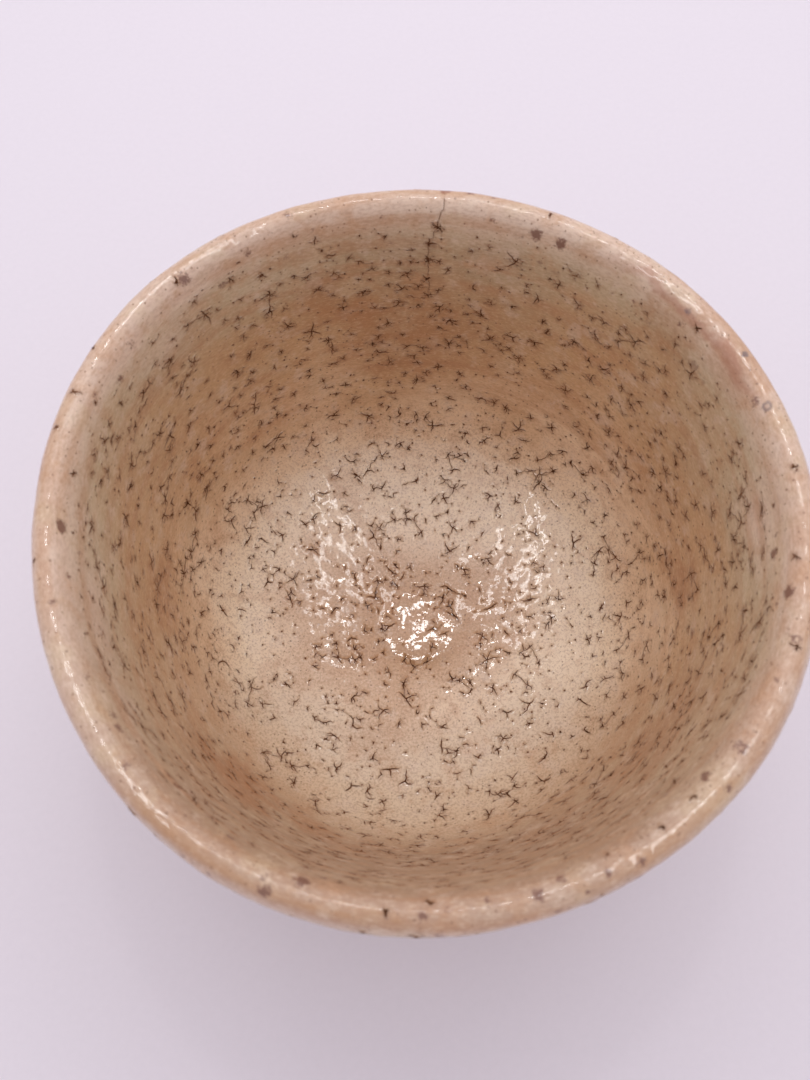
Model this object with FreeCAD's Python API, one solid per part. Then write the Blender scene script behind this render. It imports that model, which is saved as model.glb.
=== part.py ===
"""Matcha tea bowl, hand thrown and glazed.

Units are millimetres, +Z is up, and the origin is the centre of the plane the foot stands on.
Each physical piece of the bowl is one solid: the thrown clay body, the foot ring luted under it,
the glaze poured inside, and the glaze the outside and the lip were dipped in.

The potter's hand is in the form: every upright surface is one cubic B-spline, closed round the
axis, whose outline drifts a little in and out of a true circle and runs true at the foot.
"""

import FreeCAD, Part
import math
import os

# Overall form
FLOOR_HEIGHT = 9.2  # clay at the middle of the floor, before glaze
GLAZE_THICKNESS = 0.7

# Foot and underside
BASE_HEIGHT = 6.5
BASE_RADIUS = 31.0
FOOT_TOP_RADIUS = 29.6
FOOT_REST_RADIUS = 28.8
FOOT_BORE_RADIUS = 23.0
FOOT_EDGE_ROUND = 0.8
RECESS_DEPTH = 4.4
NIPPLE_RADIUS = 5.0
NIPPLE_TIP_RADIUS = 1.5
NIPPLE_HEIGHT = 1.0

# Where the coats end
LAP_HEIGHT = 75.5
DIP_EDGE_HEIGHT = 14.0
DIP_TILT_DEGREES = 1.6

# Hand-thrown drift of the outline: (waves round the rim, swell, direction of one crest in degrees)
DRIFT = (
    (2, 0.50, -53.0),
    (3, 0.43, 18.0),
    (4, 0.21, -36.0),
)
DRIFT_START_RADIUS = 30.0
DRIFT_FULL_RADIUS = 52.0

# Control points (radius, height) of the fired clay, from the tea pool in the middle of the floor
# up the inside, over the lip and down the outside to the edge of the flat base.
INSIDE = (
    (9.0, FLOOR_HEIGHT),
    (11.0, 9.8),
    (19.0, 10.4),
    (31.0, 12.2),
    (43.0, 17.0),
    (48.0, 28.5),
    (51.3, 41.0),
    (53.0, 56.0),
    (54.4, 69.0),
)
LIP = (
    (55.2, 76.7),
    (56.4, 79.9),
    (58.9, 79.3),
    (59.8, 76.1),
)
OUTSIDE = (
    (59.0, 69.0),
    (58.4, 56.0),
    (56.8, 41.0),
    (53.4, 25.5),
    (46.0, 13.8),
    (37.5, 9.4),
    (BASE_RADIUS, BASE_HEIGHT),
)

# A line up the middle of the wall that tells the inside from the outside, cut off at the lap
MID_WALL = (
    (0.0, 8.0),
    (36.0, 11.5),
    (47.0, 18.5),
    (52.3, 30.0),
    (55.0, 45.0),
    (56.6, 62.0),
    (57.2, LAP_HEIGHT),
    (0.0, LAP_HEIGHT),
)

SECTORS = 24  # control points round the axis
DEGREE = 3
AXIS = FreeCAD.Vector(0, 0, 1)
CENTRE = FreeCAD.Vector(0, 0, 0)


def control_gain(waves):
    """How much a control point overshoots for the curve itself to reach a wave's crest.

    A cubic B-spline with even knots flattens a wave by the inverse of this, and a circle
    counts as one wave.
    """
    return 3.0 / (2.0 + math.cos(waves * 2.0 * math.pi / SECTORS))


def drift(angle, radius):
    """How far the hand-thrown outline stands off a true circle at one control point."""
    reach = (radius - DRIFT_START_RADIUS) / (DRIFT_FULL_RADIUS - DRIFT_START_RADIUS)
    reach = min(max(reach, 0.0), 1.0)
    fade = reach * reach * (3.0 - 2.0 * reach)
    total = 0.0
    for waves, swell, crest in DRIFT:
        total += control_gain(waves) * swell * math.cos(waves * (angle - math.radians(crest)))
    return fade * total


def control_ring(radius, height):
    """The control points round the axis for one point of the profile."""
    points = []
    for sector in range(SECTORS):
        angle = 2.0 * math.pi * sector / SECTORS
        reach = radius * control_gain(1) + drift(angle, radius)
        points.append(FreeCAD.Vector(reach * math.cos(angle), reach * math.sin(angle), height))
    return points


def thrown_surface(profile):
    """One B-spline face with the profile's control points, closed round the axis."""
    rings = [control_ring(radius, height) for radius, height in profile]
    poles = [list(meridian) for meridian in zip(*rings)]
    round_knots = list(range(SECTORS + 1))
    round_mults = [1] * len(round_knots)
    rise_knots = list(range(len(profile) - DEGREE + 1))
    rise_mults = [1] * len(rise_knots)
    rise_mults[0] = rise_mults[-1] = DEGREE + 1
    surface = Part.BSplineSurface()
    surface.buildFromPolesMultsKnots(
        poles, round_mults, rise_mults, round_knots, rise_knots, True, False, DEGREE, DEGREE
    )
    return surface.toShape()


def thrown_solid(profile):
    """The thrown surface, closed by a flat disc at the tea pool and another at the base."""
    side = thrown_surface(profile)
    discs = [Part.Face(Part.Wire([edge])).reversed() for edge in side.Edges if edge.isClosed()]
    return Part.Solid(Part.Shell([side] + discs))


def coated(profile, thickness):
    """The profile moved out along its normals by a coat's thickness, with level ends."""
    moved = []
    last = len(profile) - 1
    for index, (radius, height) in enumerate(profile):
        before = profile[max(index - 1, 0)]
        after = profile[min(index + 1, last)]
        run = after[0] - before[0]
        rise = after[1] - before[1]
        length = math.hypot(run, rise)
        moved.append((radius - thickness * rise / length, height + thickness * run / length))
    moved[0] = (profile[0][0], profile[0][1] + thickness)
    moved[last] = (profile[last][0] + thickness, profile[last][1])
    return moved


def revolved(outline):
    """A solid of revolution from a closed (radius, height) outline with straight sides."""
    corners = [FreeCAD.Vector(radius, 0, height) for radius, height in outline]
    face = Part.Face(Part.makePolygon(corners + corners[:1]))
    return face.revolve(CENTRE, AXIS, 360.0)


def make_clay_body():
    """Wall, floor and lip, with the plug of clay that fills the top of the foot's bore."""
    recess = FreeCAD.Vector(0, 0, RECESS_DEPTH)
    plug_height = (BASE_HEIGHT + FLOOR_HEIGHT) / 2.0 - RECESS_DEPTH
    plug = Part.makeCylinder(FOOT_BORE_RADIUS, plug_height, recess)
    nipple = Part.makeCone(NIPPLE_RADIUS, NIPPLE_TIP_RADIUS, NIPPLE_HEIGHT, recess, -AXIS)
    return thrown_solid(INSIDE + LIP + OUTSIDE).fuse([plug, nipple])


def make_foot_ring():
    """The tapered ring the bowl stands on, flat underneath and eased at both edges."""
    ring = revolved(
        (
            (FOOT_BORE_RADIUS, BASE_HEIGHT),
            (FOOT_BORE_RADIUS, 0.0),
            (FOOT_REST_RADIUS, 0.0),
            (FOOT_TOP_RADIUS, BASE_HEIGHT),
        )
    )
    rims = [edge for edge in ring.Edges if edge.isClosed() and edge.CenterOfMass.z < FOOT_EDGE_ROUND]
    return ring.makeFillet(FOOT_EDGE_ROUND, rims)


def below_dip_edge():
    """Everything the dip didn't reach, under a plane tilted as the bowl was held."""
    span = 4.0 * BASE_RADIUS
    block = Part.makeBox(span, span, span, FreeCAD.Vector(-span / 2.0, -span / 2.0, -span))
    block.rotate(CENTRE, FreeCAD.Vector(1, 0, 0), DIP_TILT_DEGREES)
    block.translate(FreeCAD.Vector(0, 0, DIP_EDGE_HEIGHT))
    return block


def make_glaze_coats():
    """The inner and outer glaze, which meet at a lap just inside the lip."""
    profile = INSIDE + LIP + OUTSIDE
    skin = thrown_solid(coated(profile, GLAZE_THICKNESS)).cut(thrown_solid(profile))
    inside = revolved(MID_WALL)
    return skin.common(inside), skin.cut([inside, below_dip_edge()])


inner_glaze, outer_glaze = make_glaze_coats()
nodes = {
    "clay_body": make_clay_body(),
    "foot_ring": make_foot_ring(),
    "inner_glaze": inner_glaze,
    "outer_glaze": outer_glaze,
}
os.makedirs("parts", exist_ok=True)
for node, shape in nodes.items():
    shape.exportStep("parts/" + node + ".step")
    box = shape.optimalBoundingBox()
    size = " x ".join(f"{side:.2f}" for side in (box.XLength, box.YLength, box.ZLength))
    print(f"{node}: {len(shape.Solids)} solid, {size} mm, z {box.ZMin:.2f} to {box.ZMax:.2f}")
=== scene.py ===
"""Looks of a hand-thrown matcha bowl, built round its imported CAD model.

The CAD holds the form. This script reads the fired clay's surface back from the frame, as smooth
curves of the angle round the axis and the distance along the profile. It lays the glaze over
that, cuts the glaze's star-shaped cracks into it as real grooves, and turns the bare clay of the
foot. Lengths are in millimetres until a mesh is made.
"""

import cmath
import math
import random
from collections import Counter

import bpy
import numpy as np
from mathutils import Color, Matrix, Vector
from mathutils.bvhtree import BVHTree
from mathutils.geometry import delaunay_2d_cdt
from mathutils.kdtree import KDTree


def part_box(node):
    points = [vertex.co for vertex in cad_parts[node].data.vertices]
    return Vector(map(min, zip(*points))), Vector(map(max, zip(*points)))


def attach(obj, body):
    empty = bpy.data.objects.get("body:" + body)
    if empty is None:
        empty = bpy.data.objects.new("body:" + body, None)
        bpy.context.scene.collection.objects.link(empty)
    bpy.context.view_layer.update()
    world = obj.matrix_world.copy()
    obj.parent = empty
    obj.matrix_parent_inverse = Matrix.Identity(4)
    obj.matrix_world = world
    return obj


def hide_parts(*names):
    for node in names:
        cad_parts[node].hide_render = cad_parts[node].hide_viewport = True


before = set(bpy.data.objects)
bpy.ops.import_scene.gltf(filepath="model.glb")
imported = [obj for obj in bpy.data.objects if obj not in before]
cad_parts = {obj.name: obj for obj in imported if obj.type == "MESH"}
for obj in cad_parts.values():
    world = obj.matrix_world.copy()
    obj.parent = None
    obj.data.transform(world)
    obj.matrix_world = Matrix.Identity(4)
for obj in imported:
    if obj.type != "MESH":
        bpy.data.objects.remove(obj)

MM = 0.001
TURN = 2 * math.pi
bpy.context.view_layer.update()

# Reading the form
MERIDIANS = 120
HARMONICS = 5
STATION = 0.25
FORM_SOFTNESS = 0.8

# Glaze coat
COAT = 0.7
EDGE_ROLL = 1.1
EDGE_WAVE = 1.1
GROOVE_DEPTH = 0.34
GROOVE_LIP = 0.035
MOST_CRACK_TRIANGLES = 1500
BIG_STARS = (0.95, 1.8)
SMALL_STARS = (0.4, 0.95)
BURSTS_FROM = 44
CALM_PLACE = (0, -18, 11)
RING_SCALE = 50
LAP_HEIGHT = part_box("inner_glaze")[1].z / MM

# Mesh spacing
SPACING_INSIDE = 0.95
SPACING_OUTSIDE = 1.15
SPACING_LIP = 0.42
SPACING_BACK = 3
CLAY_STEP = 0.4
CLAY_ANGLES = np.arange(420) * TURN / 420

# Radius of the hollow under the foot
FOOT_HOLLOW = 23

# Camera, in the same frame as the bowl
CAMERA_PLACE = (0, -53.8, 203.85)
CAMERA_ELEVATION = math.radians(69.17)
CAMERA_YAW = math.radians(-2.88)
CAMERA_ROLL = math.radians(-0.68)
LENS = 30
APERTURE = 28
FOCUS_PLACE = (0, 5, 16)

# Studio
LAMP_HEIGHT = 450
FLOOR_REACH = 9000


def smoothstep(values, low, high):
    share = np.clip((values - low) / (high - low), 0, 1)
    return share * share * (3 - 2 * share)


def around_axis(angle, radius, height):
    """Points in space at these angles round the axis, radii and heights."""
    x, y = radius * np.cos(angle), radius * np.sin(angle)
    return np.stack(np.broadcast_arrays(x, y, height), -1)


# ---- reading the form


def tree_of(node):
    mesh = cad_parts[node].data
    corners = [vertex.co / MM for vertex in mesh.vertices]
    return BVHTree.FromPolygons(corners, [face.vertices[:] for face in mesh.polygons])


def fan(centre, start, end, count, reach=0):
    """Rays in the (radius, height) half plane: out from a centre, or in at it from reach away."""
    rays = []
    for pitch in np.linspace(start, end, count):
        c, s = math.cos(pitch), math.sin(pitch)
        way = (-c, -s) if reach else (c, s)
        rays.append(((centre[0] + reach * c, centre[1] + reach * s), way))
    return rays


def profile_rays(lip, heart, base):
    """Rays that meet the clay squarely, from the middle of the floor round to the flat base.

    They look out from the heart of the hollow at the floor and wall, then in at the lip from all
    round it, then in at the outside from far away.
    """
    lip_rise = lip[1] - 1 - heart[1]
    inside_lip = math.atan2(lip_rise, lip[0] - 2.2)
    outside_lip = math.atan2(lip_rise, lip[0] + 2.2)
    base_pitch = math.atan2(base[1] - heart[1], base[0])
    rays = fan(heart, -math.pi / 2, inside_lip, 130)
    rays += fan(lip, math.pi, 0, 45, 12)
    rays += fan(heart, outside_lip, base_pitch, 150, 120)
    return rays


def read_meridians():
    """Radius and height of the clay at each meridian and ray."""
    low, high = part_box("clay_body")
    rim = (high.x - low.x + high.y - low.y) / 4 / MM
    height = high.z / MM
    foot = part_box("foot_ring")[1]
    base = (foot.x / MM + 1.9, foot.z / MM + 0.15)
    rays = profile_rays((rim - 2.3, height - 4.5), (0, 0.56 * height), base)
    tree = tree_of("clay_body")
    radii = np.zeros((MERIDIANS, len(rays)))
    heights = np.zeros_like(radii)
    for row in range(MERIDIANS):
        angle = TURN * row / MERIDIANS
        c, s = math.cos(angle), math.sin(angle)
        for column, (start, way) in enumerate(rays):
            place = Vector((start[0] * c, start[0] * s, start[1]))
            hit = tree.ray_cast(place, Vector((way[0] * c, way[0] * s, way[1])))[0]
            radii[row, column] = hit.x * c + hit.y * s
            heights[row, column] = hit.z
    return radii, heights


def softened(values, width):
    """A row of numbers blurred by a Gaussian as wide as width samples."""
    reach = int(4 * width)
    kernel = np.exp(-0.5 * (np.arange(-reach, reach + 1) / width) ** 2)
    padded = np.pad(values, reach, mode="reflect", reflect_type="odd")
    return np.convolve(padded, kernel / kernel.sum(), mode="valid")


class ClayForm:
    """The fired clay's surface, from the middle of the floor, over the lip and down to the base.

    It unrolls to a plane that keeps every angle, so a mark drawn small there keeps its shape. The
    middle of the floor is 0 there, and points are complex numbers.
    """

    def __init__(self):
        radii, heights = read_meridians()
        steps = np.hypot(np.diff(radii.mean(0)), np.diff(heights.mean(0)))
        measured = np.concatenate(([0], np.cumsum(steps)))
        self.along = np.arange(0, measured[-1], STATION)
        self.radius_waves = self.waves(radii, measured)
        self.height_waves = self.waves(heights, measured)
        self.radius = self.radius_waves[0].real
        self.height = self.height_waves[0].real
        self.crest_index = int(self.height.argmax())
        self.crest = float(self.along[self.crest_index])
        self.end = float(self.along[-1])
        self.some_radius = np.maximum(self.radius, 0.05)
        self.reach = self.unrolled()

    def waves(self, table, measured):
        """Fourier terms round the axis, each a smooth curve along the profile."""
        terms = np.fft.rfft(table, axis=0)[: HARMONICS + 1] / MERIDIANS
        terms[1:] *= 2
        width = FORM_SOFTNESS / STATION
        return [softened(np.interp(self.along, measured, term), width) for term in terms]

    def total(self, waves, angle, along):
        result = np.zeros(np.shape(angle))
        for order, curve in enumerate(waves):
            result += (np.interp(along, self.along, curve) * np.exp(1j * order * angle)).real
        return result

    def radius_at(self, along):
        return np.interp(along, self.along, self.radius)

    def along_at(self, height, outside):
        """Distance along the profile where the wall stands at this height."""
        crest = self.crest_index
        if outside:
            return np.interp(-height, -self.height[crest:], self.along[crest:])
        return np.interp(height, self.height[:crest], self.along[:crest])

    def place(self, angle, along, lift):
        """Points in space, lifted off the clay."""
        outward = -np.gradient(self.height, self.along)
        upward = np.gradient(self.radius, self.along)
        length = np.hypot(outward, upward)
        radius = self.total(self.radius_waves, angle, along)
        radius += lift * np.interp(along, self.along, outward / length)
        height = self.total(self.height_waves, angle, along)
        height += lift * np.interp(along, self.along, upward / length)
        return around_axis(angle, radius, height)

    def unrolled(self):
        """How far from the middle of the plane each place along the profile lies."""
        stretch = 1 / self.some_radius[1:] - 1 / self.along[1:]
        growth = np.cumsum(np.concatenate(([0], (stretch[1:] + stretch[:-1]) / 2 * STATION)))
        return np.concatenate(([0], self.along[1:] * np.exp(growth)))

    def flatten(self, angle, along):
        return np.interp(along, self.along, self.reach) * np.exp(1j * angle)

    def raise_up(self, flat):
        """(angle, distance along the profile) of points on the plane."""
        return np.angle(flat), np.interp(abs(flat), self.reach, self.along)

    def scale(self, along):
        """Plane units to the millimetre."""
        along = max(along, 0.5)
        reach = np.interp(along, self.along, self.reach)
        return float(reach / np.interp(along, self.along, self.some_radius))


# ---- the hand in the surface


def swell(points, wavelength, seed, count=28):
    """Smooth noise between about -2 and 2: a sum of plane waves near one wavelength."""
    rng = np.random.default_rng(seed)
    ways = rng.normal(size=(count, 3))
    ways /= np.linalg.norm(ways, axis=1)[:, None]
    rates = TURN / (wavelength * rng.uniform(0.75, 1.6, count))
    phases = rng.uniform(0, TURN, count)
    return np.cos(points @ (ways * rates[:, None]).T + phases).sum(-1) / math.sqrt(count / 2)


def finger_rings(angle, along, points, pitch, seed):
    """Spiral ridges left by the fingers, about one to a pitch, stronger in some places."""
    wander = 1.3 * swell(points, 60, seed)
    strength = 0.6 + 0.4 * swell(points, 35, seed + 1)
    return strength * np.sin(TURN * along / pitch + angle + wander)


def glaze_relief(angle, along, points, crest):
    """How far the glaze stands off its even thickness."""
    outside_share = smoothstep(along, crest - 2, crest + 8)
    rings = finger_rings(angle, along, points, 5.2, 11) * (0.05 + 0.13 * outside_share)
    rings += finger_rings(angle, along, points, 1.7, 17) * 0.018
    pools = 0.026 * swell(points, 9.5, 23) + 0.012 * swell(points, 4.2, 29)
    pools *= 1 - 0.8 * np.exp(-((np.linalg.norm(points - CALM_PLACE, axis=-1) / 11) ** 2))
    pools += 0.012 * swell(points, 3, 31) * smoothstep(along, crest - 6, crest - 2)
    dimple = -0.12 * np.exp(-((along / 4.6) ** 2))
    return rings * smoothstep(along, 34, 52) + pools + dimple


def glaze_edge(form):
    """Where the glaze stops outside, as a function of the angle: a dip's level line, with runs."""
    points = np.array([vertex.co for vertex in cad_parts["outer_glaze"].data.vertices]) / MM
    low = points[points[:, 2] < points[:, 2].min() + 3.5]
    tilt = np.polyfit(low[:, 1], low[:, 2], 1)
    radius = float(np.hypot(low[:, 0], low[:, 1]).mean())

    def along(angle):
        level = form.along_at(np.polyval(tilt, radius * np.sin(angle)), True)
        points = around_axis(angle, radius, 0)
        return level + EDGE_WAVE * (0.5 * swell(points, 34, 41) + 0.25 * swell(points, 9, 43))

    return along


# ---- cracks in the glaze


def strip(spine, widths):
    """A tapered strip along a line of points: its outline, and the points inside it."""
    left, right = [], []
    for index, width in enumerate(widths):
        way = spine[index + 1] - spine[max(index - 1, 0)]
        side = 1j * way * (width / (abs(way) or 1))
        left.append(spine[index] + side)
        right.append(spine[index] - side)
    return right + spine[-1:] + left[::-1], spine[:-1]


def crooked_line(rng, start, heading, length, pieces, crook):
    points = [start]
    for _ in range(pieces):
        heading += rng.uniform(-crook, crook)
        points.append(points[-1] + cmath.rect(length / pieces * rng.uniform(0.8, 1.2), heading))
    return points


def pit(rng, size):
    """A small uneven hole: its outline, and the point in its middle."""
    outline = []
    for corner in range(7):
        turn = TURN * corner / 7 + rng.uniform(-0.25, 0.25)
        outline.append(cmath.rect(size * rng.uniform(0.65, 1.25), turn))
    return outline, [0j]


def star_crack(rng, size, width, burst):
    """One crow's foot: thin crooked arms that meet, some of them forked, often with a small pit.

    burst, from 0 to 1, makes it a denser burst of short strokes that lie mostly round the bowl.
    """
    shapes = []
    width *= 1 - 0.12 * burst
    arms = rng.choice((2, 3, 3, 3, 4, 4, 5)) if size > 0.9 else rng.choice((2, 2, 3, 3, 4))
    arms += int(round(2 * burst * rng.random()))
    first = rng.uniform(0, TURN)
    for arm in range(arms):
        heading = first + TURN * arm / arms + rng.uniform(-0.5, 0.5)
        length = size * rng.choice((0.4, 0.7, 1, 1.35)) * rng.uniform(0.8, 1.2)
        line = crooked_line(rng, 0j, heading, length, 4, 0.62)
        shapes.append(strip(line, (width, width * 0.9, width * 0.8, width * 0.6)))
        if size > 1 and rng.random() < 0.45:
            fork = heading + rng.choice((-1, 1)) * rng.uniform(0.6, 1.1)
            twig = crooked_line(rng, line[rng.choice((1, 2))], fork, size * 0.5, 2, 0.5)
            shapes.append(strip(twig, (width * 0.55, width * 0.4)))
    if size > 0.8 and rng.random() < 0.75:
        shapes.append(pit(rng, width * rng.uniform(1.3, 2.3)))
    for _ in range(int(burst * size * rng.uniform(1.5, 5))):
        start = complex(rng.uniform(-0.7, 0.7), rng.uniform(-0.9, 0.9)) * size
        heading = rng.choice((-1, 1)) * math.pi / 2 + rng.uniform(-0.5, 0.5)
        stroke = crooked_line(rng, start, heading, rng.uniform(0.3, 0.8), 2, 0.4)
        shapes.append(strip(stroke, (width * 0.5, width * 0.6)))
    return shapes


class Cracks:
    """Every crack's outline and inner points, on the flat plane."""

    def __init__(self, form, seed):
        self.form = form
        self.rng = random.Random(seed)
        self.outlines = []
        self.inner_points = []
        self.stars = []
        self.taken = {False: [], True: []}
        area = np.cumsum(np.maximum(form.radius, 0))
        self.area_share = area / area[-1]

    def draw(self, spot, shapes):
        """Lays shapes, drawn in millimetres, on the surface at one spot."""
        angle, along = spot
        middle = self.form.flatten(angle, along)
        turn = cmath.rect(self.form.scale(along), angle)
        for outline, inside in shapes:
            self.outlines.append([middle + point * turn for point in outline])
            self.inner_points += [middle + point * turn for point in inside]

    def star(self, spot, size, width, burst):
        """Draws one star, and notes where it is and how big, for the stain round it."""
        self.draw(spot, star_crack(self.rng, size, width, burst))
        self.stars.append((self.form.flatten(*spot), size))

    def claim(self, spot, gap):
        """Takes a round patch of the surface, unless another mark is in it already."""
        angle, along = spot
        radius = float(self.form.radius_at(along))
        height = float(np.interp(along, self.form.along, self.form.height))
        point = (radius * math.cos(angle), radius * math.sin(angle), height)
        taken = self.taken[along > self.form.crest]
        if any(math.dist(point, other) < gap + other_gap for other, other_gap in taken):
            return False
        taken.append((point, gap))
        return True

    def random_spot(self, low, high):
        """(angle, distance along the profile), evenly likely over the surface."""
        shares = np.interp((low, high), self.form.along, self.area_share)
        share = self.rng.uniform(*shares)
        along = float(np.interp(share, self.area_share, self.form.along))
        return self.rng.uniform(-math.pi, math.pi), along

    def scatter(self, count, low, high, sizes, width):
        """Stars in free places; returns where they are."""
        spots = []
        for _ in range(count):
            size = self.rng.uniform(*sizes)
            spot = self.random_spot(low, high)
            burst = float(smoothstep(spot[1], BURSTS_FROM, BURSTS_FROM + 20))
            if self.claim(spot, size * (0.55 + 0.4 * burst)):
                self.star(spot, size, width * self.rng.uniform(0.75, 1.25), burst)
                spots.append(spot)
        return spots

    def pinholes(self, count, low, high, sizes):
        for _ in range(count):
            spot = self.random_spot(low, high)
            if self.claim(spot, 0.35):
                self.draw(spot, [pit(self.rng, self.rng.uniform(*sizes))])

    def join(self, start, end, width):
        """A crooked crack between two spots."""
        scale = self.form.scale(start[1])
        first, last = self.form.flatten(*start), self.form.flatten(*end)
        points = []
        for share in (0, 0.25, 0.5, 0.75, 1):
            stray = 0.32 * scale if 0 < share < 1 else 0
            stray = complex(self.rng.uniform(-stray, stray), self.rng.uniform(-stray, stray))
            points.append(first + (last - first) * share + stray)
        outline, inside = strip(points, [width * scale * factor for factor in (0.8, 0.6, 0.5, 0.6)])
        self.outlines.append(outline)
        self.inner_points += inside

    def link(self, spots, nearest, share, width):
        """Joins some neighbouring stars."""
        flat = np.array([self.form.flatten(*spot) for spot in spots])
        for index, spot in enumerate(spots):
            apart = abs(flat - flat[index]) / self.form.scale(spot[1])
            for other in np.nonzero(apart < nearest)[0]:
                if other > index and self.rng.random() < share:
                    self.join(spot, spots[other], width)


def hairline(cracks, form):
    """A thin crack that runs from the lip down the back wall through a row of stars."""
    stops = ((79, 88), (75.2, 89), (71.7, 90.5), (68, 90.6), (62.9, 90.5), (58.4, 90.4))
    spots = [(math.radians(turn), form.along_at(height, False)) for height, turn in stops]
    for spot in spots[1:]:
        cracks.claim(spot, 1.4)
        cracks.star(spot, 1.3, 0.15, 1)
    for start, end in zip(spots, spots[1:]):
        cracks.join(start, end, 0.05)


def crack_field(form):
    """All the cracks of the bowl, inside, on the lip and outside."""
    cracks = Cracks(form, 7)
    crest = form.crest
    lap = form.along_at(LAP_HEIGHT, False)
    outside_end = form.along_at(18, True)
    hairline(cracks, form)
    inside = cracks.scatter(720, 3, lap - 3, BIG_STARS, 0.122)
    cracks.link(inside, 4.2, 0.35, 0.09)
    cracks.scatter(1200, 3, lap - 2, SMALL_STARS, 0.1)
    cracks.pinholes(1600, 2, lap, (0.10, 0.22))
    cracks.scatter(50, lap - 5, crest + 6, (0.3, 0.7), 0.14)
    outside = cracks.scatter(480, crest + 5, outside_end, (0.9, 1.8), 0.15)
    cracks.link(outside, 4, 0.35, 0.1)
    cracks.scatter(700, crest + 3, outside_end, SMALL_STARS, 0.115)
    cracks.pinholes(500, crest + 2, outside_end, (0.12, 0.24))
    return cracks


# ---- meshes


def make_piece(name, points, faces):
    """An object whose mesh has these points, in millimetres, smooth all over."""
    mesh = bpy.data.meshes.new(name)
    mesh.from_pydata((np.asarray(points) * MM).tolist(), [], faces)
    mesh.polygons.foreach_set("use_smooth", np.ones(len(mesh.polygons), bool))
    mesh.update()
    piece = bpy.data.objects.new(name, mesh)
    bpy.context.scene.collection.objects.link(piece)
    return piece


def store(piece, name, values):
    """Keeps a number or vector for each vertex, for the materials to read."""
    is_vector = values.ndim == 2
    attribute = piece.data.attributes.new(name, "FLOAT_VECTOR" if is_vector else "FLOAT", "POINT")
    attribute.data.foreach_set("vector" if is_vector else "value", values.astype(np.float32).ravel())


def vertex_normals(points, triangles):
    corners = points[triangles]
    across = np.cross(corners[:, 1] - corners[:, 0], corners[:, 2] - corners[:, 0])
    total = np.zeros_like(points)
    for corner in range(3):
        np.add.at(total, triangles[:, corner], across)
    length = np.linalg.norm(total, axis=1)
    return total / np.where(length > 0, length, 1)[:, None]


def signed_area(outline):
    return (outline.conj() * np.roll(outline, -1)).imag.sum() / 2


def rim_loops(triangles):
    """The closed chains of vertices along the border of some triangles."""
    edges = np.concatenate((triangles[:, [0, 1]], triangles[:, [1, 2]], triangles[:, [2, 0]]))
    known = set(map(tuple, edges.tolist()))
    following = {start: end for start, end in known if (end, start) not in known}
    loops = []
    while following:
        first, here = following.popitem()
        loop = [first]
        while here != first:
            loop.append(here)
            here = following.pop(here)
        loops.append(loop)
    return loops


class Weave:
    """Points, outlines and loops that go into one triangulation of the plane."""

    def __init__(self):
        self.points = []
        self.edges = []
        self.faces = []

    def add_points(self, points):
        first = len(self.points)
        self.points += [Vector((point.real, point.imag)) for point in points]
        return list(range(first, len(self.points)))

    def add_face(self, outline):
        self.faces.append(self.add_points(outline))

    def add_loop(self, outline):
        numbers = self.add_points(outline)
        self.edges += list(zip(numbers, numbers[1:] + numbers[:1]))

    def solve(self):
        """(points, triangles, the outlines each triangle is in, the new point for each old one)."""
        found = delaunay_2d_cdt(self.points, self.edges, self.faces, 0, 1e-5, True)
        points = np.array([complex(*point) for point in found[0]])
        place = {origin: index for index, origins in enumerate(found[3]) for origin in origins}
        return points, np.array([tuple(face) for face in found[2]]), found[5], place


def ring_fill(form, start, end, spacing, seed):
    """Points ring by ring, evenly spread on the surface."""
    rng = np.random.default_rng(seed)
    rings = []
    along = start
    while along < end:
        across, around = spacing(along)
        count = max(6, int(TURN * float(form.radius_at(along)) / around))
        angles = (np.arange(count) + rng.uniform()) * TURN / count - math.pi
        rings.append(form.flatten(angles, along + rng.uniform(-0.06, 0.06, count) * across))
        along += across
    return np.concatenate(rings)


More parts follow.
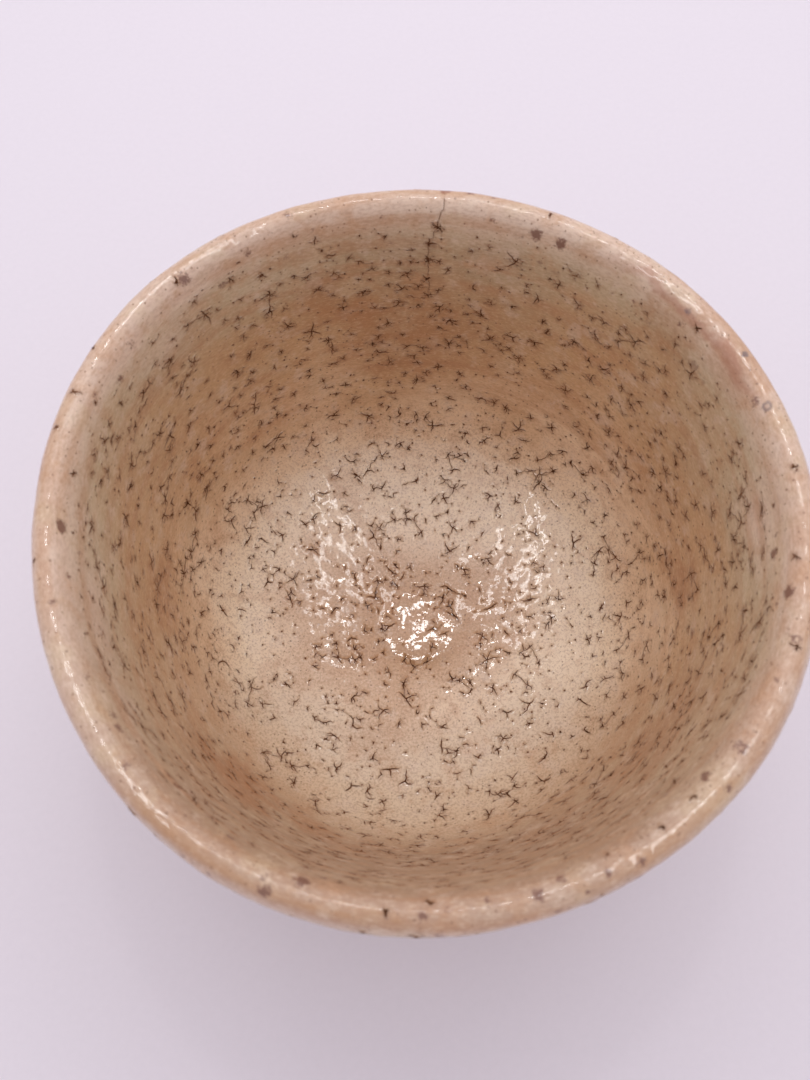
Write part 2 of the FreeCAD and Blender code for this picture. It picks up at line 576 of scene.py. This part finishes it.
class Glaze:
    """The whole glazed surface as one triangulation, ready to be cut into coats."""

    def __init__(self, form):
        self.form = form
        self.edge = glaze_edge(form)
        self.lap = form.along_at(LAP_HEIGHT, False)
        cracks = crack_field(form)
        self.flat, self.triangles, self.cracked = self.weave(cracks)
        self.angle, self.along = form.raise_up(self.flat)
        self.stain = self.stains(cracks.stars)
        self.points = self.raise_relief()
        self.normals = self.glaze_normals()
        self.is_inside = form.raise_up(self.flat[self.triangles].mean(1))[1] < self.lap

    def spacing(self, along):
        nearness = math.exp(-(((along - self.form.crest) / 5.5) ** 4))
        even = SPACING_INSIDE if along < self.form.crest else SPACING_OUTSIDE
        return even + (SPACING_LIP - even) * nearness, even + (0.75 - even) * nearness

    def loop(self, along, count):
        angles = np.linspace(-math.pi, math.pi, count, endpoint=False)
        return self.form.flatten(angles, along(angles))

    def weave(self, cracks):
        """(plane points, triangles, which triangles lie in a crack)."""
        form, lap, edge = self.form, self.lap, self.edge
        weave = Weave()
        weave.add_face(self.loop(edge, 1000))
        weave.add_loop(self.loop(lambda angle: np.full_like(angle, lap), 720))
        weave.add_points(ring_fill(form, 0.5, lap - 0.3, self.spacing, 51))
        outside = ring_fill(form, lap + 0.3, form.end, self.spacing, 53)
        angle, along = form.raise_up(outside)
        weave.add_points(outside[along < edge(angle) - 2.1])
        for inset in (0.08, 0.22, 0.45, 0.8, 1.2, 1.7):
            weave.add_points(self.loop(lambda angle, inset=inset: edge(angle) - inset, 620))
        for outline in cracks.outlines:
            weave.add_face(outline)
        weave.add_points(cracks.inner_points)
        points, triangles, owners, _ = weave.solve()
        claims = Counter(outline for owner in owners for outline in owner)
        # An outline that crosses itself can claim the whole plane, so it's left out. The first
        # outline is the glaze's edge.
        sound = {outline for outline, count in claims.items() if count < MOST_CRACK_TRIANGLES} - {0}
        kept = np.array([0 in owner for owner in owners])
        cracked = np.array([not sound.isdisjoint(owner) for owner in owners])
        return points, triangles[kept], cracked[kept]

    def stains(self, stars):
        """How near each point is to the heart of a star crack, from 0 to 1."""
        tree = KDTree(len(stars))
        for number, (heart, _) in enumerate(stars):
            tree.insert((heart.real, heart.imag, 0), number)
        tree.balance()
        found = [tree.find((point.real, point.imag, 0))[1:] for point in self.flat]
        number, away = np.array(found).T
        size = np.array([size for _, size in stars])[number.astype(int)]
        scale = abs(self.flat) / np.maximum(self.form.radius_at(self.along), 0.05)
        return np.exp(-((away / scale / (0.35 + 0.75 * size)) ** 2))

    def raise_relief(self):
        """Points in space: even coat, hand relief, rolled lower edge, and grooves at the cracks."""
        angle, along = self.angle, self.along
        bare = self.form.place(angle, along, 0)
        relief = glaze_relief(angle, along, bare, self.form.crest)
        to_edge = self.edge(angle) - along
        rolled = np.sqrt(1 - (1 - np.clip(to_edge / EDGE_ROLL, 0, 1)) ** 2)
        bead = 1 + 0.45 * np.exp(-(((to_edge - 1.6) / 1.3) ** 2))
        lift = (COAT + relief) * rolled * bead
        around = np.bincount(self.triangles.ravel(), minlength=len(bare))
        cracked_around = np.bincount(self.triangles[self.cracked].ravel(), minlength=len(bare))
        self.in_crack = np.minimum(cracked_around, 1)
        is_deep = (cracked_around == around) & (around > 0)
        groove = np.maximum(lift - GROOVE_DEPTH, 0.12)
        lift = np.where(is_deep, groove, lift + GROOVE_LIP * self.in_crack)
        return self.form.place(angle, along, np.maximum(lift, 0.02))

    def glaze_normals(self):
        """Normals that leave the glaze flat right up to a groove's brink."""
        normals = vertex_normals(self.points, self.triangles)
        beside = vertex_normals(self.points, self.triangles[~self.cracked])
        found = np.linalg.norm(beside, axis=1) > 0.5
        normals[found] = beside[found]
        return normals

    def coat(self, name, part):
        """One closed coat: the front, a plain back against the clay, and strips that join them."""
        kept, renumbered = np.unique(self.triangles[part], return_inverse=True)
        triangles = renumbered.reshape(-1, 3)
        flat = self.flat[kept]
        loops = rim_loops(triangles)
        loops.sort(key=lambda loop: -abs(signed_area(flat[loop])))
        back_points, back_triangles, back_loops = self.back(flat, loops)
        offset = len(kept)
        faces = triangles.tolist() + (back_triangles[:, ::-1] + offset).tolist()
        for loop, back_loop in zip(loops, back_loops):
            for here in range(len(loop)):
                behind, under = offset + back_loop[here - 1], offset + back_loop[here]
                faces.append((loop[here], loop[here - 1], behind, under))
        piece = make_piece(name, np.concatenate((self.points[kept], back_points)), faces)
        ring = around_axis(self.angle, 1, self.along / RING_SCALE)
        marks = {"along": self.along, "crack": self.in_crack, "stain": self.stain, "ring": ring}
        for mark, values in marks.items():
            blank = np.zeros((len(back_points), *values.shape[1:]))
            store(piece, mark, np.concatenate((values[kept], blank)))
        slots = np.zeros(len(faces), np.int32)
        slots[: len(triangles)] = self.cracked[part]
        piece.data.polygons.foreach_set("material_index", slots)
        back_normals = vertex_normals(back_points, back_triangles[:, ::-1])
        normals = np.concatenate((self.normals[kept], back_normals))
        piece.data.normals_split_custom_set_from_vertices(normals.tolist())
        return piece

    def back(self, flat, loops):
        """The clay side of a coat: points, triangles, and its own copy of each rim loop."""
        weave = Weave()
        for loop in loops:
            outline = flat[loop]
            weave.add_face(outline if signed_area(outline) > 0 else outline[::-1])
        along = [self.form.raise_up(flat[loop])[1] for loop in loops]
        start = along[1].max() if len(loops) > 1 else 0
        step = (SPACING_BACK * 0.6, SPACING_BACK)
        end = along[0].min() - 1
        weave.add_points(ring_fill(self.form, start + 1, end, lambda _: step, 61))
        points, triangles, owners, place = weave.solve()
        kept = np.array([list(owner) == [0] for owner in owners])
        copies, first = [], 0
        for loop in loops:
            copy = [place[first + step] for step in range(len(loop))]
            copies.append(copy if signed_area(flat[loop]) > 0 else copy[::-1])
            first += len(loop)
        angle, along = self.form.raise_up(points)
        return self.form.place(angle, along, 0), triangles[kept], copies


def grog(points, seed):
    """Coarse sand in the clay: small bumps, and the pits that a tool tears beside them."""
    grains = swell(points, 1.5, seed, 40)
    return 0.07 * np.clip(grains - 0.9, 0, 1) - 0.16 * np.clip(-grains - 1.25, 0, 1)


def tool_spiral(points, along, seed):
    """The fine spiral that a trimming tool leaves, with a slow chatter."""
    angle = np.arctan2(points[:, 1], points[:, 0])
    spiral = 0.05 * np.sin(TURN * along / 1.15 + angle + 0.8 * swell(points, 30, seed))
    return spiral + 0.03 * np.sin(14 * angle + 0.7 * along)


def swept(name, grid, along, is_ring, firmness, seed):
    """A turned solid from a grid of points, rows by columns, with tool marks and grog.

    is_ring closes the last row on the first. Otherwise a point on the axis closes each end.
    firmness, one for each row, is 0 where the surface must stay as it is.
    """
    rows, columns = grid.shape[:2]
    numbers = np.arange(rows * columns).reshape(rows, columns)
    if is_ring:
        numbers = np.concatenate((numbers, numbers[:1]))
    beside = np.roll(numbers, -1, axis=1)
    quads = np.stack((numbers[:-1], beside[:-1], beside[1:], numbers[1:]), -1).reshape(-1, 4)
    points = grid.reshape(-1, 3)
    halves = np.concatenate((quads[:, :3], quads[:, [0, 2, 3]]))
    normals = vertex_normals(points, halves)
    steady = np.repeat(firmness, columns)
    relief = grog(points, seed) + tool_spiral(points, np.repeat(along, columns), seed + 1)
    points = points + normals * (relief * steady)[:, None]
    faces = quads.tolist()
    if not is_ring:
        ends = (grid[0].mean(0), grid[-1].mean(0))
        points = np.concatenate((points, ends))
        for column in range(columns):
            following = (column + 1) % columns
            faces.append((len(points) - 2, following, column))
            faces.append((len(points) - 1, int(numbers[-1, column]), int(numbers[-1, following])))
    return make_piece(name, points, faces)


def even_steps(corners, step):
    """A profile resampled at even steps: radius, height, distance along it."""
    corners = np.array(corners)
    along = np.concatenate(([0], np.cumsum(np.hypot(*np.diff(corners, axis=0).T))))
    even = np.linspace(0, along[-1], int(along[-1] / step) + 1)
    return np.interp(even, along, corners[:, 0]), np.interp(even, along, corners[:, 1]), even


def foot_piece():
    """The turned foot: a flat that rests, eased edges, and a soft fillet up to the bowl."""
    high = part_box("foot_ring")[1]
    outer, top = high.x / MM, high.z / MM
    hollow = (FOOT_HOLLOW, top), (FOOT_HOLLOW, 1.3), (FOOT_HOLLOW + 0.3, 0.5)
    flat = (24, 0.1), (24.8, 0), (27.8, 0), (28.5, 0.2), (28.8, 0.8)
    fillet = (outer - 0.25, top - 1.4), (outer - 0.05, top - 0.5), (outer + 0.4, top), (26, top)
    corners = hollow + flat + fillet
    radius, height, along = even_steps(corners, 0.3)
    firmness = smoothstep(height, 0.05, 0.6) * smoothstep(top - height, 0, 0.6)
    grid = around_axis(CLAY_ANGLES, radius[:, None], height[:, None])
    return swept("turned_foot", grid, along, True, firmness, 71)


def clay_piece(form, edge):
    """The fired clay: plain under the glaze, turned and sandy where it's bare."""
    bare_start = float(edge(CLAY_ANGLES).min()) - 3
    covered = np.arange(2, bare_start, 3)
    shown = np.arange(bare_start, form.end, CLAY_STEP)
    along = np.concatenate((covered, shown))
    turn, rows = np.meshgrid(CLAY_ANGLES, along)
    upper = form.place(turn, rows, -0.04)
    foot_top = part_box("foot_ring")[1].z / MM
    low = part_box("clay_body")[0].z / MM
    hollow = (FOOT_HOLLOW, foot_top), (FOOT_HOLLOW, low + 1.3), (FOOT_HOLLOW - 0.3, low + 1)
    under = ((30.9, foot_top), *hollow, (5, low + 1), (1.5, low), (0.4, low))
    radius, height, under_along = even_steps(under, CLAY_STEP)
    grid = np.concatenate((upper, around_axis(CLAY_ANGLES, radius[:, None], height[:, None])))
    bare = smoothstep(shown, bare_start, bare_start + 2)
    recess = smoothstep(abs(radius - 23.5), 0.5, 1)
    firmness = np.concatenate((np.zeros(len(covered)), bare, recess))
    whole_along = np.concatenate((along, form.end + under_along))
    return swept("thrown_clay", grid, whole_along, False, firmness, 81)


# ---- materials


def tone(red, green, blue):
    """A colour in display values, 0 to 255, as the light values that a material takes."""
    shown = Color((red / 255, green / 255, blue / 255))
    return (*shown.from_srgb_to_scene_linear(), 1)


def polar(degrees, radius, height):
    angle = math.radians(degrees)
    return radius * math.cos(angle), radius * math.sin(angle), height


class Shader:
    """Short ways to add nodes to a material or a world."""

    def __init__(self, owner):
        owner.use_nodes = True
        self.owner = owner
        self.tree = owner.node_tree
        self.tree.nodes.clear()

    def make(self, kind, inputs, output=0, **settings):
        node = self.tree.nodes.new("ShaderNode" + kind)
        for key, value in settings.items():
            setattr(node, key, value)
        for key, value in inputs.items():
            socket = node.inputs[key]
            if isinstance(value, bpy.types.NodeSocket):
                self.tree.links.new(value, socket)
            else:
                socket.default_value = value
        return node.outputs[output]

    def end(self, kind, surface):
        output = self.tree.nodes.new("ShaderNodeOutput" + kind)
        self.tree.links.new(surface, output.inputs["Surface"])
        return self.owner

    def math(self, operation, first, second=0):
        return self.make("Math", {0: first, 1: second}, operation=operation)

    def times(self, first, second):
        return self.math("MULTIPLY", first, second)

    def plus(self, first, second):
        return self.math("ADD", first, second)

    def off(self, value, centre):
        """How far value is from centre, either way."""
        return self.math("ABSOLUTE", self.math("SUBTRACT", value, centre))

    def between(self, value, low, high, start=0, end=1):
        """start below low, end above high, and a smooth step from one to the other."""
        inputs = {"Value": value, "From Min": low, "From Max": high, "To Min": start, "To Max": end}
        return self.make("MapRange", inputs, "Result", interpolation_type="SMOOTHSTEP")

    def fade(self, value, low, high, start=1):
        """start below low, and nothing above high."""
        return self.between(value, low, high, start, 0)

    def ramp(self, value, stops):
        """Colours at places along value, blended smoothly between."""
        low, high = stops[0][0], stops[-1][0]
        share = self.make("MapRange", {"Value": value, "From Min": low, "From Max": high}, "Result")
        output = self.make("ValToRGB", {"Fac": share}, "Color")
        band = output.node.color_ramp
        band.interpolation = "B_SPLINE"
        for place, _ in stops[1:-1]:
            band.elements.new((place - low) / (high - low))
        for element, (place, colour) in zip(band.elements, stops):
            element.position = (place - low) / (high - low)
            element.color = tone(*colour)
        return output


class Surface(Shader):
    """A material under way. place is the point on it in millimetres, colour what it shows so far."""

    def __init__(self, name, colour):
        super().__init__(bpy.data.materials.new(name))
        metres = self.make("TexCoord", {}, "Object")
        self.place = self.make("VectorMath", {0: metres, 3: 1 / MM}, operation="SCALE")
        self.colour = tone(*colour)

    def paint(self, colour, share, *shares):
        """Lays a colour over what there is, as far as the product of its shares says."""
        for other in shares:
            share = self.times(share, other)
        inputs = {0: share, 6: self.colour, 7: tone(*colour)}
        self.colour = self.make("Mix", inputs, 2, data_type="RGBA")

    def attribute(self, name, output="Fac"):
        return self.make("Attribute", {}, output, attribute_name=name)

    def axis(self, name):
        return self.make("SeparateXYZ", {0: self.place}, name)

    def distance(self, centre):
        return self.make("VectorMath", {0: self.place, 1: centre}, "Value", operation="DISTANCE")

    def noise(self, size, detail, roughness, place=None):
        """Soft noise from 0 to 1 with features about size millimetres across."""
        place = self.place if place is None else place
        inputs = {"Vector": place, "Scale": 1 / size, "Detail": detail, "Roughness": roughness}
        return self.make("TexNoise", inputs, "Fac")

    def drawn_noise(self, round_size, along_size, roughness):
        """Noise in streaks round the bowl, with their size round it and along the profile."""
        scale = (RING_SCALE / round_size, RING_SCALE / round_size, RING_SCALE / along_size)
        ring = self.attribute("ring", "Vector")
        place = self.make("VectorMath", {0: ring, 1: scale}, operation="MULTIPLY")
        return self.noise(1, 3, roughness, place)

    def cells(self, size, spread):
        """Distance to the nearest of some scattered centres, less up to spread by chance."""
        away = self.make("TexVoronoi", {"Vector": self.place, "Scale": 1 / size}, "Distance")
        chance = self.make("SeparateColor", {0: away.node.outputs["Color"]}, "Red")
        return self.plus(away, self.times(chance, -spread))

    def bump(self, height, distance, strength, normal=None):
        inputs = {"Height": height, "Distance": distance * MM, "Strength": strength}
        if normal is not None:
            inputs["Normal"] = normal
        return self.make("Bump", inputs)

    def finish(self, **inputs):
        """Ends the material with a principled surface; underscores in a name stand for spaces."""
        named = {name.replace("_", " "): value for name, value in inputs.items()}
        return self.end("Material", self.make("BsdfPrincipled", {"Base Color": self.colour, **named}))


# The glaze's colour, with where it is along the profile: inside from the middle of the floor, and
# then from the top of the lip. Inside, the pale stops from 30 to 50 mm are partly painted sheen,
# lifted to stand in for the glossy haze on the floor and to lighten the wall's shade there.
GROUND_AND_SHEEN_INSIDE = (
    (0, (200, 156, 114)), (20, (219, 184, 150)), (30, (252, 229, 199)), (38, (255, 236, 207)),
    (50, (250, 223, 191)), (63, (220, 183, 142)), (75, (204, 165, 122)), (88, (200, 164, 124)),
)
GROUND_FROM_LIP = (
    (-14, (202, 178, 144)), (-8, (200, 182, 151)), (-3, (234, 208, 188)),
    (2, (206, 174, 152)), (12, (206, 182, 156)), (48, (200, 170, 140)),
)
GROUND_END = (184, 144, 110)
# Warm flushes where the glaze burned thin: degrees round, height, size in mm, strength
FLUSHES = (
    (-129, 39, 12, 0.85), (-112, 33, 9, 0.4), (1, 41, 9, 0.7), (-35, 43, 11, 0.5), (96, 47, 15, 0.4),
    (112, 62, 9, 0.4), (-173, 38, 11, 0.45), (40, 74, 8, 0.45), (27, 77, 6, 0.4),
)
# Iron spots on the lip: degrees round, mm in from the middle of it, size, whether only a ring
IRON_SPOTS = (40, 2.4, 0.75, True), (28, 0, 0.6, False), (18.5, 1.2, 0.8, True)
# Painted shade for the near side of the floor and wall, inside
NEAR_SHADE_TONE = (162, 129, 103)
CHIP_TURN = 88
BURN_TURN = 38


class GlazeSurface(Surface):
    """Translucent oatmeal glaze over iron-bearing clay: cream at the lip, tan low on the wall."""

    def __init__(self, name, form):
        super().__init__(name, GROUND_END)
        self.form = form
        self.lip_radius = float(form.radius[form.crest_index])
        self.lip_height = float(form.height[form.crest_index])
        self.along = self.attribute("along")
        self.from_crest = self.plus(self.along, -form.crest)
        self.on_wall = self.between(self.along, 44, 66)
        self.clouds = self.noise(9, 4, 0.62)
        self.streaks = self.drawn_noise(44, 3.2, 0.5)

    def add_ground(self):
        """The colour from the floor, up the wall, over the lip and down the outside, with painted
        sheen in the floor's pale band.
        """
        past_lip = tuple((self.form.crest + past, colour) for past, colour in GROUND_FROM_LIP)
        wander = self.between(self.noise(26, 3, 0.5), 0.25, 0.75, -9, 9)
        settled = self.times(wander, self.between(self.from_crest, -12, -5, 1, 0.15))
        stops = (*GROUND_AND_SHEEN_INSIDE, *past_lip, (self.form.end, GROUND_END))
        self.colour = self.ramp(self.plus(self.along, settled), stops)

    def add_painted_inner_shade(self):
        """Painted shade, inside only: duller on the near side, and browner high on the far wall."""
        inside = self.fade(self.from_crest, -6, 6)
        past_middle = self.axis("Y")
        on_floor = self.between(self.along, 18, 30)
        # painted shade on the near side of the floor, then of the wall
        self.paint(NEAR_SHADE_TONE, self.fade(past_middle, -24, -6, 0.32), on_floor, inside)
        self.paint(NEAR_SHADE_TONE, self.fade(past_middle, -54, -20), self.on_wall, inside)
        # painted shade high on the far wall, where less light falls
        far = self.between(past_middle, 44, 56, 0, 0.5)
        self.paint((164, 129, 97), far, self.fade(self.from_crest, -9, -4))

    def add_clouds(self):
        """Streaks round the wall, large clouds, and a finer mottle."""
        streaks = self.between(self.streaks, 0.42, 0.66, 0, 0.45)
        self.paint((186, 136, 98), streaks, self.on_wall)
        pale = self.between(self.clouds, 0.48, 0.68, 0, 0.45)
        self.paint((214, 190, 158), pale, self.on_wall)
        self.paint((202, 152, 112), self.fade(self.clouds, 0.32, 0.46, 0.3))
        mottle = self.noise(4.2, 3, 0.65)
        self.paint((192, 146, 108), self.fade(mottle, 0.3, 0.48, 0.35))
        self.paint((228, 206, 186), self.between(mottle, 0.52, 0.7, 0, 0.4))

    def add_flushes(self):
        for turn, height, size, strength in FLUSHES:
            radius = float(self.form.radius_at(self.form.along_at(height, False)))
            away = self.distance(polar(turn, radius, height))
            ragged = self.plus(away, self.between(self.clouds, 0.2, 0.8, -size / 2, size / 2))
            self.paint((174, 120, 78), self.fade(ragged, size * 0.1, size * 1.15, strength))

    def add_pool_ring(self):
        """A faint ochre crescent in the floor, where the glaze pooled."""
        radius = self.distance((0.5, 1, 9.9))
        band = self.times(self.between(radius, 4.5, 7.5), self.fade(radius, 8.5, 12))
        self.paint((174, 126, 70), band, self.fade(self.axis("Y"), -8, -2.5, 0.6))

    def add_flecks(self):
        """Fine brown flecks, drawn out round the wall by the throwing, and a pepper of pinholes."""
        plain, drawn = self.noise(0.5, 4, 0.75), self.drawn_noise(0.9, 0.34, 0.7)
        self.flecks = self.make("Mix", {0: self.on_wall, 2: plain, 3: drawn}, data_type="FLOAT")
        strength = self.between(self.along, 44, 66, 1, 0.6)
        self.paint((150, 104, 74), self.fade(self.flecks, 0.38, 0.54, 0.38), strength)
        pale = self.between(self.flecks, 0.54, 0.68, 0, 0.5)
        self.paint((234, 210, 186), pale, strength)
        self.pinholes = self.cells(0.95, 0.26)
        self.paint((124, 84, 58), self.fade(self.pinholes, -0.08, 0.02, 0.6))

    def add_lip_burn(self):
        """A pinkish brown burn that follows the inside of the lip at the back right."""
        away = self.distance(polar(BURN_TURN, self.lip_radius - 2.5, self.lip_height - 1.5))
        stray = self.between(self.noise(5, 3, 0.6), 0.25, 0.75, -1, 1)
        band = self.fade(self.off(self.plus(self.from_crest, stray), -2), 0.1, 1.4)
        self.paint((174, 118, 96), band, self.fade(away, 10, 22, 0.5))

    def add_lip_ochre(self):
        """Broken ochre streaks along the top of the lip, where the glaze ran thin."""
        broken = self.between(self.drawn_noise(22, 4, 0.6), 0.48, 0.6, 0, 0.38)
        band = self.fade(self.off(self.from_crest, 0.6), 0.3, 1.1)
        self.paint((184, 138, 96), broken, band)

    def add_lip_marks(self):
        """Iron spots along the lip, three of them larger, and one small bare chip at the back."""
        near_lip = self.fade(self.off(self.from_crest, -2), 4, 9)
        blur = self.between(self.noise(0.7, 3, 0.7), 0.2, 0.8, -0.13, 0.13)
        spots = self.fade(self.plus(self.cells(4.5, 0.21), blur), -0.06, 0.11, 0.85)
        self.paint((120, 82, 70), spots, near_lip)
        top = self.lip_height + COAT
        for turn, inward, size, is_ring in IRON_SPOTS:
            away = self.distance(polar(turn, self.lip_radius - inward, top - 0.12 * inward**2))
            away = self.plus(away, self.times(blur, 1.5))
            share = self.fade(away, size * 0.6, size * 1.3, 0.7)
            if is_ring:
                share = self.times(share, self.between(away, size * 0.2, size * 0.8, 0.3, 1))
            self.paint((104, 92, 98), share)
        away = self.distance(polar(CHIP_TURN, self.lip_radius + 1, top - 0.3))
        self.paint((150, 98, 70), self.fade(self.plus(away, self.times(blur, 4)), 0.8, 1.4, 0.85))

    def add_crack_edges(self):
        """A brown stain round each star crack, and a brink darkened all along a groove."""
        stain = self.times(self.attribute("stain"), self.between(self.along, 38, 62, 0.16, 0.5))
        self.paint((136, 92, 62), stain, self.between(self.flecks, 0.3, 0.6, 1, 0.3))
        self.brink = self.times(self.attribute("crack"), self.attribute("crack"))
        self.paint((150, 106, 76), self.brink, 0.3)

    def fine_relief(self):
        """Ripples, streaks, pinholes and brinks too small for the mesh."""
        rippled = self.between(self.distance(CALM_PLACE), 6, 17, 0.15, 1)
        normal = self.bump(self.noise(3, 1, 0.45), 0.12, rippled)
        normal = self.bump(self.noise(1.1, 1, 0.4), 0.03, 0.6, normal)
        normal = self.bump(self.streaks, 0.06, 0.25, normal)
        normal = self.bump(self.between(self.pinholes, -0.05, 0.05), 0.05, 0.5, normal)
        return self.bump(self.brink, 0.14, 1, normal)


def glaze_material(name, form):
    glaze = GlazeSurface(name, form)
    glaze.add_ground()
    glaze.add_painted_inner_shade()
    glaze.add_clouds()
    glaze.add_flushes()
    glaze.add_pool_ring()
    glaze.add_flecks()
    glaze.add_lip_burn()
    glaze.add_lip_ochre()
    glaze.add_lip_marks()
    glaze.add_crack_edges()
    normal = glaze.fine_relief()
    return glaze.finish(
        Roughness=0.36,
        IOR=1.5,
        Specular_IOR_Level=glaze.between(glaze.from_crest, -12, -4, 0.3, 0.12),
        Normal=normal,
        Coat_Weight=0.6,
        Coat_Roughness=glaze.between(glaze.clouds, 0.3, 0.7, 0.03, 0.06),
        Coat_Normal=normal,
    )


def crack_material(name):
    """The dark clay seen at the bottom of a crack."""
    clay = Surface(name, (92, 57, 40))
    grain = clay.noise(0.9, 3, 0.7)
    clay.paint((136, 90, 62), clay.between(grain, 0.35, 0.65))
    return clay.finish(Roughness=0.8, Specular_IOR_Level=0, Normal=clay.bump(grain, 0.1, 0.6))


def bare_clay_material(name, edge_height):
    """Sandy stoneware, toasted orange beside the glaze."""
    clay = Surface(name, (176, 132, 98))
    clay.paint((150, 108, 80), clay.noise(14, 4, 0.6))
    toast = clay.between(clay.axis("Z"), edge_height - 5, edge_height + 1.5, 0, 0.75)
    clay.paint((158, 92, 56), toast)
    sand = clay.noise(0.5, 3, 0.7)
    clay.paint((206, 176, 144), clay.between(sand, 0.55, 0.7, 0, 0.5))
    iron = clay.noise(0.9, 1, 0.5)
    clay.paint((74, 48, 36), clay.between(iron, 0.68, 0.74, 0, 0.8))
    return clay.finish(Roughness=0.82, Normal=clay.bump(sand, 0.12, 0.7))


def floor_material():
    floor = Surface("pale_floor", (226, 219, 226))
    fibres = floor.noise(1.6, 4, 0.7)
    floor.paint((232, 225, 232), fibres)
    normal = floor.bump(fibres, 0.05, 0.3)
    return floor.finish(Roughness=0.9, Specular_IOR_Level=0.05, Normal=normal)


# ---- the scene


def dress(piece, node, materials):
    """Gives a piece its materials and its body, and hides the CAD node it stands for."""
    for material in materials:
        piece.data.materials.append(material)
    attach(piece, "root")
    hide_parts(node)


def build_bowl():
    form = ClayForm()
    glaze = Glaze(form)
    crack = crack_material("crack_clay")
    inner = glaze.coat("poured_inner_glaze", glaze.is_inside)
    dress(inner, "inner_glaze", (glaze_material("inner_glaze_gloss", form), crack))
    outer = glaze.coat("dipped_outer_glaze", ~glaze.is_inside)
    dress(outer, "outer_glaze", (glaze_material("outer_glaze_gloss", form), crack))
    clay = bare_clay_material("sandy_clay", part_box("outer_glaze")[0].z / MM)
    dress(clay_piece(form, glaze.edge), "clay_body", (clay,))
    dress(foot_piece(), "foot_ring", (clay,))


def build_floor():
    corners = np.array(((-1, -1, 0), (1, -1, 0), (1, 1, 0), (-1, 1, 0))) * FLOOR_REACH
    floor = make_piece("studio_floor", corners, [(0, 1, 2, 3)])
    floor.data.materials.append(floor_material())


def add_lamp(name, ends, width, power, height=LAMP_HEIGHT, gloss=True, diffuse=True):
    """A rectangular lamp between two ends, level, faced at the bowl and not seen by the camera."""
    start, end = (Vector((*place, height)) for place in ends)
    centre = (start + end) / 2
    along = (end - start).normalized()
    back = centre.normalized()
    back = (back - along * back.dot(along)).normalized()
    turn = Matrix((along, back.cross(along), back)).transposed()
    light = bpy.data.lights.new(name, "AREA")
    light.shape = "RECTANGLE"
    light.size = (end - start).length * MM
    light.size_y = width * MM
    light.energy = power
    lamp = bpy.data.objects.new(name, light)
    lamp.matrix_world = Matrix.Translation(centre * MM) @ turn.to_4x4()
    lamp.visible_camera = False
    lamp.visible_glossy = gloss
    lamp.visible_diffuse = diffuse
    bpy.context.scene.collection.objects.link(lamp)


def build_lamps():
    """An arch of strips above the bowl, which the glaze mirrors, and a broad soft panel behind."""
    add_lamp("back_strip", ((-14, 128), (14, 128)), 20, 0.065)
    strips = {"right": ((42, 124), (111, -3)), "left": ((-132, 28), (-46, 122))}
    for name, ends in strips.items():
        add_lamp(name + "_haze", ends, 28, 0.12, diffuse=False)
        add_lamp(name + "_line", ends, 6, 0.19, diffuse=False)
    arms = {"right": ((111, -3), (283, -266)), "left": ((-292, -210), (-132, 28))}
    for name, ends in arms.items():
        add_lamp(name + "_arm", ends, 13, 0.19, diffuse=False)
    add_lamp("soft_panel", ((-350, 360), (350, 360)), 400, 1.28, height=600, gloss=False)


def build_air():
    """A pale tent all round, brighter behind the bowl than in front of it."""
    world = Shader(bpy.data.worlds.new("studio_air"))
    behind = world.make("SeparateXYZ", {0: world.make("TexCoord", {}, "Generated")}, "Y")
    strength = world.make("MapRange", {"Value": behind, "From Min": -1, "To Min": 0.78}, "Result")
    air = world.make("Background", {"Color": tone(246, 242, 249), "Strength": strength})
    bpy.context.scene.world = world.end("World", air)


def build_camera():
    camera = bpy.data.cameras.new("photo_camera")
    camera.sensor_fit = "VERTICAL"
    camera.sensor_height = 36
    camera.lens = LENS
    camera.clip_start = 0.01
    focus = bpy.data.objects.new("focus", None)
    focus.location = Vector(FOCUS_PLACE) * MM
    camera.dof.use_dof = True
    camera.dof.focus_object = focus
    camera.dof.aperture_fstop = APERTURE
    holder = bpy.data.objects.new("photo_camera", camera)
    turns = ((-CAMERA_YAW, "Z"), (math.pi / 2 - CAMERA_ELEVATION, "X"), (CAMERA_ROLL, "Z"))
    matrix = Matrix.Translation(Vector(CAMERA_PLACE) * MM)
    for angle, axis in turns:
        matrix = matrix @ Matrix.Rotation(angle, 4, axis)
    holder.matrix_world = matrix
    for item in (focus, holder):
        bpy.context.scene.collection.objects.link(item)
    bpy.context.scene.camera = holder


build_bowl()
build_floor()
build_lamps()
build_air()
build_camera()
bpy.context.scene.view_settings.view_transform = "Standard"
